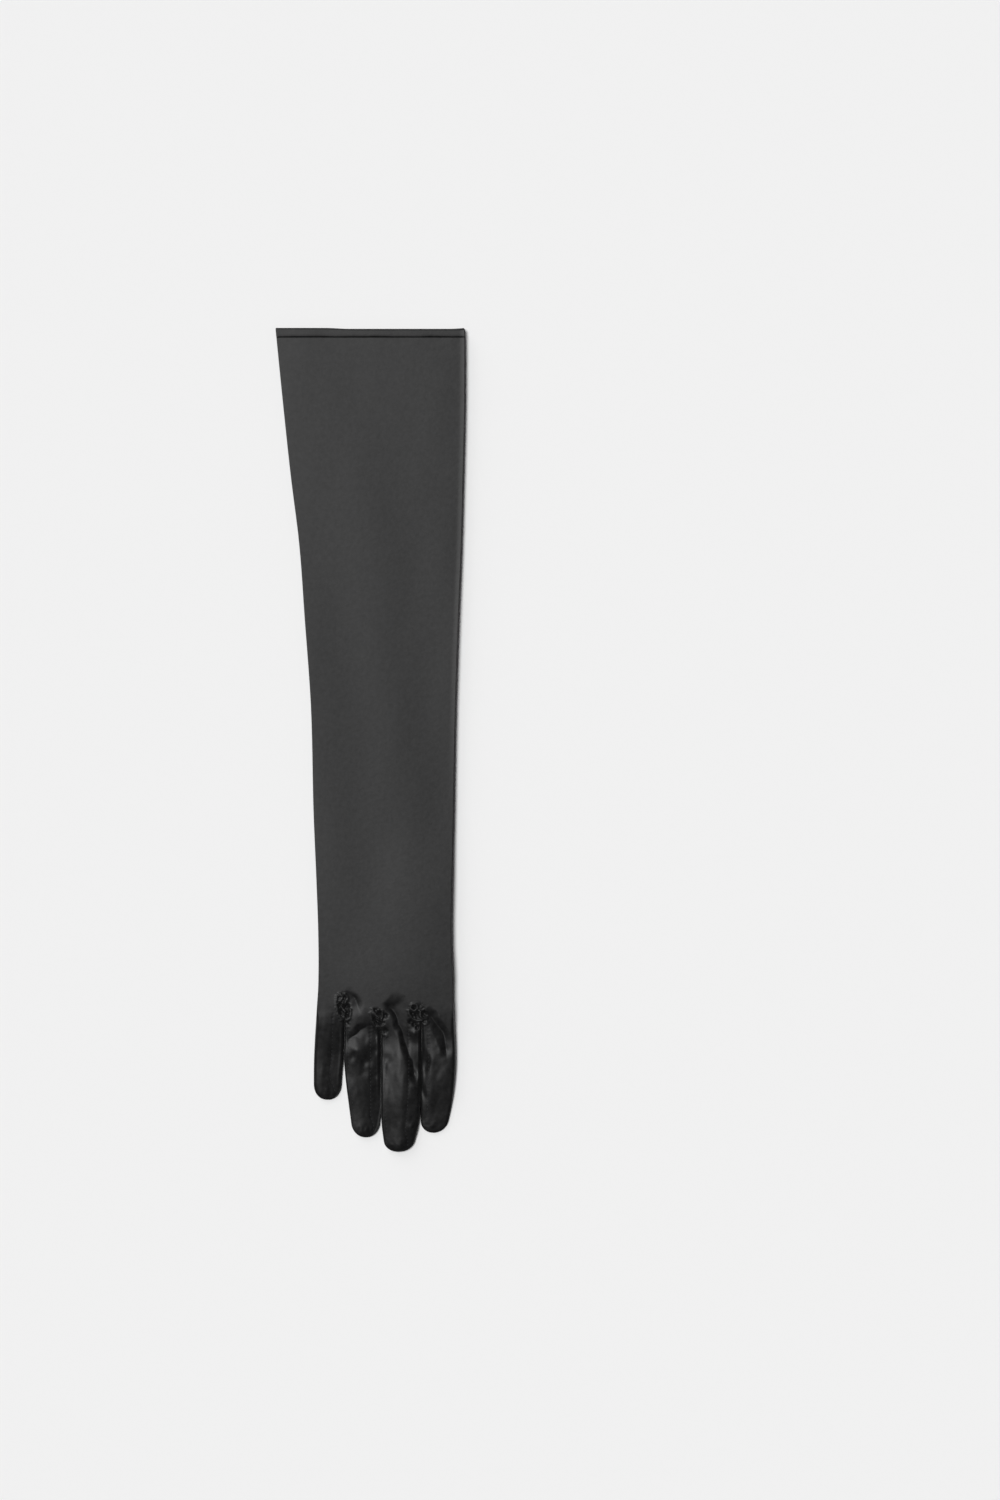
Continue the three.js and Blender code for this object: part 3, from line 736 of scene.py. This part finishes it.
def build_cloth():
    """The whole glove's skin apart from the hem and the thumb."""
    cloth = Cloth()
    rows = shared_rows()
    own_rows = [np.concatenate([rows, finger_rows(finger)]) for finger in range(len(FINGERS))]
    grid = {}
    for finger, own in enumerate(own_rows):
        for layer in ("over", "under"):
            x = strip_columns(finger, layer, own)
            y = np.repeat(own[:, None], x.shape[1], axis=1)
            z = cloth_height(finger, layer, x, y)
            # The sleeve's end goes in under the hem.
            tucked = TUCK["depth"] * smooth(y, HEM_LOW_Y + TUCK["start"], HEM_LOW_Y + TUCK["full"])
            z = z - tucked if layer == "over" else z + tucked
            for row in range(len(own)):
                grid[finger, layer, row] = cloth.add_points(x[row], y[row], z[row])

    # Points that lie on each other become one: the two layers at the open edges, the strips above a crotch.
    for finger, own in enumerate(own_rows):
        for row, y in enumerate(own):
            over, under = grid[finger, "over", row], grid[finger, "under", row]
            for side, column in ((0, 0), (1, -1)):
                if not has_slot(finger, side) or y <= SLOTS[finger - 1 + side]["y"]:
                    under[column] = over[column]
            if finger > 0 and row < len(rows) and y >= SLOTS[finger - 1]["y"]:
                for layer in ("over", "under"):
                    grid[finger, layer, row][0] = grid[finger - 1, layer, row][-1]

    for finger, own in enumerate(own_rows):
        for layer, facing in (("over", 1), ("under", -1)):
            first, middles, _ = column_counts(finger, layer)
            last = first + middles
            for row in range(len(own) - 1):
                upper, lower = grid[finger, layer, row], grid[finger, layer, row + 1]
                parts = ((0, first, finger - 1), (first, last, None), (last, len(upper) - 1, finger))
                for start, stop, slot in parts:
                    name = "trank"
                    if slot is not None and 0 <= slot < len(SLOTS):
                        if own[row] <= SLOTS[slot]["y"] + FOURCHETTE_APEX:
                            name = "fourchette_" + SLOTS[slot]["name"]
                    cloth.add_faces(name, upper[start:stop + 1], lower[start:stop + 1], facing)
            for side, column in ((0, first), (1, last)):
                if has_slot(finger, side):
                    crotch = SLOTS[finger - 1 + side]["y"]
                    end = FINGERS[finger]["tip"] + SEAM_SHORT_OF_TIP
                    start = crotch - STITCH["below_crotch"]
                    sewn = [row for row, y in enumerate(own) if end < y < start]
                    cloth.seams.append([grid[finger, layer, row][column] for row in sewn])
        # The tip is closed by a fan to one point.
        last_over = grid[finger, "over", len(own) - 1]
        last_under = grid[finger, "under", len(own) - 1]
        ring = np.concatenate([last_over, last_under[-2:0:-1]])
        centre = np.mean([cloth.points[i] for i in ring], axis=0)
        pole = cloth.add_points([centre[0]], [FINGERS[finger]["tip"]], [centre[2]])[0]
        for a, b in zip(ring, np.roll(ring, -1)):
            cloth.faces["trank"].append([int(a), int(pole), int(b)])
    return cloth


# The hem and the thumb

def ring_faces(rings, count):
    """The faces between rings of count points each, one ring after the other."""
    faces = []
    for row in range(rings - 1):
        for i in range(count):
            j = (i + 1) % count
            faces.append([row * count + i, (row + 1) * count + i, (row + 1) * count + j, row * count + j])
    return faces


def cuff_ring(y, inset):
    """A ring round the flattened sleeve at y, drawn in by inset, less where the back and the palm nearly
    meet: the back from left to right, then the palm side from right to left. Also 1 for each of its points
    on the palm side, 0 for the others."""
    rows = np.array([float(y)])
    back, palm = [], []
    for finger in range(len(FINGERS)):
        for layer, made in (("over", back), ("under", palm)):
            x = strip_columns(finger, layer, rows)
            z = cloth_height(finger, layer, x, np.full_like(x, y))
            skipped = 1 if finger else 0
            made.extend(zip(x[0][skipped:], z[0][skipped:]))
    ring = np.array(back + palm[-2:0:-1])
    under = np.array([0.0] * len(back) + [1.0] * (len(palm) - 2))
    back, palm = np.array(back), np.array(palm)
    gap = np.interp(ring[:, 0], back[:, 0], back[:, 1]) - np.interp(ring[:, 0], palm[:, 0], palm[:, 1])
    inward = inset * np.clip(HEM_INSIDE * gap, 0, 1)
    centre = (back[0, 0] + back[-1, 0]) / 2
    half = (back[-1, 0] - back[0, 0]) / 2
    x = centre + (ring[:, 0] - centre) * (1 - inset / half)
    return np.column_stack([x, ring[:, 1] + np.where(under > 0, inward, -inward)]), under


def build_hem():
    """The turned hem: a band of two layers, whose palm side peeks out past its back."""
    points = []
    for row in HEM_SECTION:
        reach = row["reach"]
        ring, under = cuff_ring(HEM_LOW_Y + reach, row["inset"])
        x = ring[:, 0]
        short = HEM["palm_peeks"] * smooth(x, HEM["left"], HEM["right"]) * (1 - under)
        wavy = sum(wave["height"] * np.sin(x / wave["length"] + wave["start"]) for wave in HEM_WAVES)
        y = HEM_LOW_Y + reach - short * reach / HEM["length"] + wavy * (1 - reach / HEM["length"])
        points.append(np.column_stack([x, y, ring[:, 1]]))
    count = len(points[0])
    total = len(HEM_SECTION) * count
    closed = ring_faces(len(HEM_SECTION) + 1, count)
    return np.concatenate(points), [[corner % total for corner in face][::-1] for face in closed]


def build_thumb():
    """The thumb's sock: a flattened tube with a round tip and an open root, laid under the palm."""
    reach, height = THUMB["round"], THUMB["height"]
    caps = reach * (1 - np.sin(np.linspace(0, math.pi / 2, THUMB_MESH["tip_rows"] + 1)[:-1]))
    rows = np.concatenate([
        THUMB["root"] - caps[:THUMB_MESH["root_rows"]][::-1],
        spaced(THUMB["root"] - reach, THUMB["tip"] + reach, THUMB_MESH["step"])[1:-1],
        THUMB["tip"] + caps,
    ])
    count = THUMB_MESH["around"]
    around = np.linspace(0, 2 * math.pi, count, endpoint=False)
    across, up = np.cos(around), np.sin(around)
    side = np.sign(across) * np.abs(across) ** THUMB_SECTION["side_power"]
    top = np.sign(up) * np.abs(up) ** THUMB_SECTION["top_power"]
    points = []
    for y in rows:
        rest = max(1 - (THUMB["root"] - y) / reach, 1 - (y - THUMB["tip"]) / reach, 0)
        end = math.sqrt(1 - rest**2)
        x = float(along(THUMB_STATIONS, y, "half")) * end * side
        z = height / 2 * (1 + min(1, THUMB_SECTION["height_growth"] * end) * top)
        points.append(np.column_stack([x, np.full_like(x, y), z]))
    faces = [face[::-1] for face in ring_faces(len(rows), count)]
    pole = len(rows) * count
    faces.extend([pole - count + i, pole - count + (i + 1) % count, pole] for i in range(count))
    points.append([[0, THUMB["tip"], height / 2]])
    x, y, z = np.concatenate(points).T
    cosine, sine = math.cos(THUMB["turn"]), math.sin(THUMB["turn"])
    placed = [THUMB["x"] + x * cosine - y * sine, THUMB["y"] + x * sine + y * cosine, z]
    return np.column_stack(placed), faces


# The stitches

def stitch_places(line):
    """Even places along a line of points, with the line's direction at each."""
    steps = np.linalg.norm(np.diff(line, axis=0), axis=1)
    reach = np.concatenate([[0], np.cumsum(steps)])
    at = np.arange(STITCH["pitch"] / 2, reach[-1], STITCH["pitch"])
    ahead, behind = (
        np.column_stack([np.interp(at + shift, reach, line[:, axis]) for axis in range(3)])
        for shift in (STITCH["length"] / 2, -STITCH["length"] / 2)
    )
    return (ahead + behind) / 2, ahead - behind


def build_stitches(lines):
    """A small thread ellipsoid for each stitch along the seams' lines."""
    rings, sides = 5, 6
    angles = np.linspace(0, 2 * math.pi, sides, endpoint=False)
    shape = []
    for t in np.linspace(-1, 1, rings + 2)[1:-1]:
        width = STITCH["radius"] * math.sqrt(1 - t * t)
        shape.extend((t / 2, width * math.cos(a), width * math.sin(a)) for a in angles)
    shape = np.array(shape)
    template = ring_faces(rings, sides)
    template.append(list(range(sides)))
    template.append(list(range(rings * sides - 1, (rings - 1) * sides - 1, -1)))
    points, faces = [], []
    for line in lines:
        for count, (centre, run) in enumerate(zip(*stitch_places(line))):
            across = np.cross(run, (0, 0, 1))
            across /= np.linalg.norm(across)
            run = run + across * STITCH["sideways"] * (-1) ** count
            up = np.cross(across, run)
            up /= np.linalg.norm(up)
            first = len(points) * len(shape)
            points.append(centre + shape[:, :1] * run + shape[:, 1:2] * across + shape[:, 2:] * up)
            faces.extend([[first + corner for corner in face] for face in template])
    return np.concatenate(points), faces


# Meshes

def vertex_normals(points, faces):
    """The outward direction at each point, from the faces round it."""
    normals = np.zeros_like(points)
    corners = np.array([face if len(face) == 4 else face + face[-1:] for face in faces])
    first, second, third, fourth = (points[corners[:, k]] for k in range(4))
    across = np.cross(third - first, fourth - second)
    for k in range(4):
        np.add.at(normals, corners[:, k], across)
    length = np.linalg.norm(normals, axis=1, keepdims=True)
    return normals / np.maximum(length, TINY)


def mesh_object(name, points, faces):
    """A smooth mesh object from points in millimetres."""
    mesh = bpy.data.meshes.new(name)
    mesh.from_pydata((np.asarray(points) * MM).tolist(), [], faces)
    mesh.polygons.foreach_set("use_smooth", [True] * len(mesh.polygons))
    made = bpy.data.objects.new(name, mesh)
    bpy.context.scene.collection.objects.link(made)
    return made


def shell(name, points, normals, faces):
    """A closed piece of the cloth: its outer skin, an inner skin a thickness further in, and a rim.
    It takes the whole cloth's normals, so that two pieces meet smoothly at a seam."""
    used = np.unique(np.concatenate([np.asarray(face) for face in faces]))
    place = {int(old): new for new, old in enumerate(used)}
    count = len(used)
    outer = [[place[corner] for corner in face] for face in faces]
    inner = [[corner + count for corner in reversed(face)] for face in outer]
    edges = dict.fromkeys((a, b) for face in outer for a, b in zip(face, face[1:] + face[:1]))
    rim = [[b, a, a + count, b + count] for a, b in edges if (b, a) not in edges]
    skin, outward = points[used], normals[used]
    made = mesh_object(name, np.concatenate([skin, skin - outward * CLOTH]), outer + inner + rim)
    both = np.concatenate([outward, -outward])
    corners = [both[corner].tolist() for face in outer + inner for corner in face]
    # A zero leaves a rim's corner the normal of its own flat face.
    corners += [[0, 0, 0]] * (4 * len(rim))
    for polygon in made.data.polygons[len(outer) + len(inner):]:
        polygon.use_smooth = False
    made.data.normals_split_custom_set(corners)
    return made


def finish_piece(made, material, *nodes):
    """Gives a piece its material and its body, and says which nodes it stands for."""
    made.data.materials.append(material)
    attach(made, "root")
    if nodes:
        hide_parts(*nodes)
    return made


# Materials

def node(tree, kind, at, **values):
    """A new node at a place in the tree's view, with values for its sockets."""
    made = tree.nodes.new(kind)
    made.location = at
    for name, value in values.items():
        made.inputs[name].default_value = value
    return made


def join(tree, *links):
    """Joins sockets: each link is a node, its output, another node and its input."""
    for source, output, target, socket in links:
        tree.links.new(source.outputs[output], target.inputs[socket])


def ramp(tree, at, *stops):
    """A ramp between two colours, each at its place."""
    made = node(tree, "ShaderNodeValToRGB", at)
    for element, (place, colour) in zip(made.color_ramp.elements, stops):
        element.position = place
        element.color = colour
    return made


def new_material(name, roughness, specular):
    """A material with its tree of nodes and its shader, whose gloss is set."""
    material = bpy.data.materials.new(name)
    material.use_nodes = True
    shader = material.node_tree.nodes["Principled BSDF"]
    shader.inputs["Roughness"].default_value = roughness
    shader.inputs["Specular IOR Level"].default_value = specular
    return material, material.node_tree, shader


def satin_material():
    """Charcoal satin: dark cloth with a smooth face, faint mottling and a fine weave."""
    material, tree, shader = new_material("satin", roughness=0.42, specular=0.17)
    shader.inputs["Sheen Weight"].default_value = 0.12
    shader.inputs["Sheen Roughness"].default_value = 0.35
    place = node(tree, "ShaderNodeTexCoord", (-1100, 0))
    mottle = node(tree, "ShaderNodeTexNoise", (-800, 200), Scale=300.0, Detail=4.0, Roughness=0.8)
    dark, light = (0.0034, 0.0034, 0.0035, 1), (0.0104, 0.0104, 0.0106, 1)
    tone = ramp(tree, (-500, 200), (0.35, dark), (0.65, light))
    threads = node(tree, "ShaderNodeMapping", (-950, -80), Scale=(0.75, 1.0, 1.0))
    uneven = node(tree, "ShaderNodeTexNoise", (-750, -80), Scale=520.0, Detail=3.0, Roughness=0.6)
    rough = node(tree, "ShaderNodeBump", (-500, -80), Strength=0.25, Distance=0.00016)
    weave = node(tree, "ShaderNodeTexNoise", (-800, -300), Scale=2200.0, Detail=2.0)
    bump = node(tree, "ShaderNodeBump", (-300, -300), Strength=0.2, Distance=0.00002)
    join(
        tree,
        (place, "Object", mottle, "Vector"),
        (mottle, "Fac", tone, "Fac"),
        (tone, "Color", shader, "Base Color"),
        (place, "Object", threads, "Vector"),
        (threads, "Vector", uneven, "Vector"),
        (uneven, "Fac", rough, "Height"),
        (rough, "Normal", bump, "Normal"),
        (place, "Object", weave, "Vector"),
        (weave, "Fac", bump, "Height"),
        (bump, "Normal", shader, "Normal"),
    )
    return material


def thread_material():
    """The matt charcoal thread of the seams."""
    material, tree, shader = new_material("thread", roughness=0.7, specular=0.3)
    place = node(tree, "ShaderNodeTexCoord", (-900, 0))
    strands = node(tree, "ShaderNodeTexNoise", (-650, 0), Scale=3000.0, Detail=1.0)
    tone = ramp(tree, (-400, 0), (0.0, (0.018, 0.018, 0.019, 1)), (1.0, (0.034, 0.034, 0.035, 1)))
    join(
        tree,
        (place, "Object", strands, "Vector"),
        (strands, "Fac", tone, "Fac"),
        (tone, "Color", shader, "Base Color"),
    )
    return material


def floor_material():
    """The matt pale floor."""
    material, _, shader = new_material("pale_floor", roughness=1.0, specular=0.0)
    shader.inputs["Base Color"].default_value = (0.866, 0.866, 0.866, 1)
    return material


# The glove

satin = satin_material()
thread = thread_material()
cloth = build_cloth()
points = np.array(cloth.points, float)
normals = vertex_normals(points, [face for faces in cloth.faces.values() for face in faces])
for name, faces in cloth.faces.items():
    finish_piece(shell(name + "_cloth", points, normals, faces), satin, name)
finish_piece(mesh_object("hem_cloth", *build_hem()), satin, "hem_band")
thumb_points, thumb_faces = build_thumb()
thumb_normals = vertex_normals(thumb_points, thumb_faces)
thumb = shell("thumb_cloth", thumb_points, thumb_normals, thumb_faces)
finish_piece(thumb, satin, "thumb")
# The seams' lines, raised where a stitch would reach below the floor.
seam_lines = [np.maximum(points[seam], (-np.inf, -np.inf, STITCH["radius"])) for seam in cloth.seams]
finish_piece(mesh_object("finger_stitches", *build_stitches(seam_lines)), thread)


# The studio

def build_sun(name, place, degrees, strength):
    """A soft light from one side, as wide in the sky as its degrees."""
    light = bpy.data.lights.new(name, "SUN")
    light.angle = math.radians(degrees)
    light.energy = strength
    made = bpy.data.objects.new(name, light)
    made.location = place
    made.rotation_euler = (-Vector(place)).to_track_quat("-Z", "Y").to_euler()
    bpy.context.scene.collection.objects.link(made)


def build_studio():
    """The floor, an even sky and the suns."""
    bpy.ops.mesh.primitive_plane_add(size=FLOOR_METRES, location=(0, 0, 0))
    floor = bpy.context.active_object
    floor.name = "floor"
    floor.data.materials.append(floor_material())
    world = bpy.data.worlds.new("studio")
    bpy.context.scene.world = world
    world.use_nodes = True
    sky = world.node_tree.nodes["Background"]
    sky.inputs["Color"].default_value = (1, 1, 1, 1)
    sky.inputs["Strength"].default_value = SKY_STRENGTH
    for row in SUNS:
        build_sun(**row)


def build_camera():
    """Straight above the photograph's middle, with its long side along the glove."""
    data = bpy.data.cameras.new("camera")
    data.lens = CAMERA["lens"]
    data.sensor_width = CAMERA["film"]
    made = bpy.data.objects.new("camera", data)
    height = CAMERA["long_side"] * CAMERA["lens"] / CAMERA["film"] + CAMERA["level"]
    made.location = (CAMERA["x"] * MM, CAMERA["y"] * MM, height * MM)
    bpy.context.scene.collection.objects.link(made)
    bpy.context.scene.camera = made


build_studio()
build_camera()
bpy.context.scene.view_settings.view_transform = "Standard"
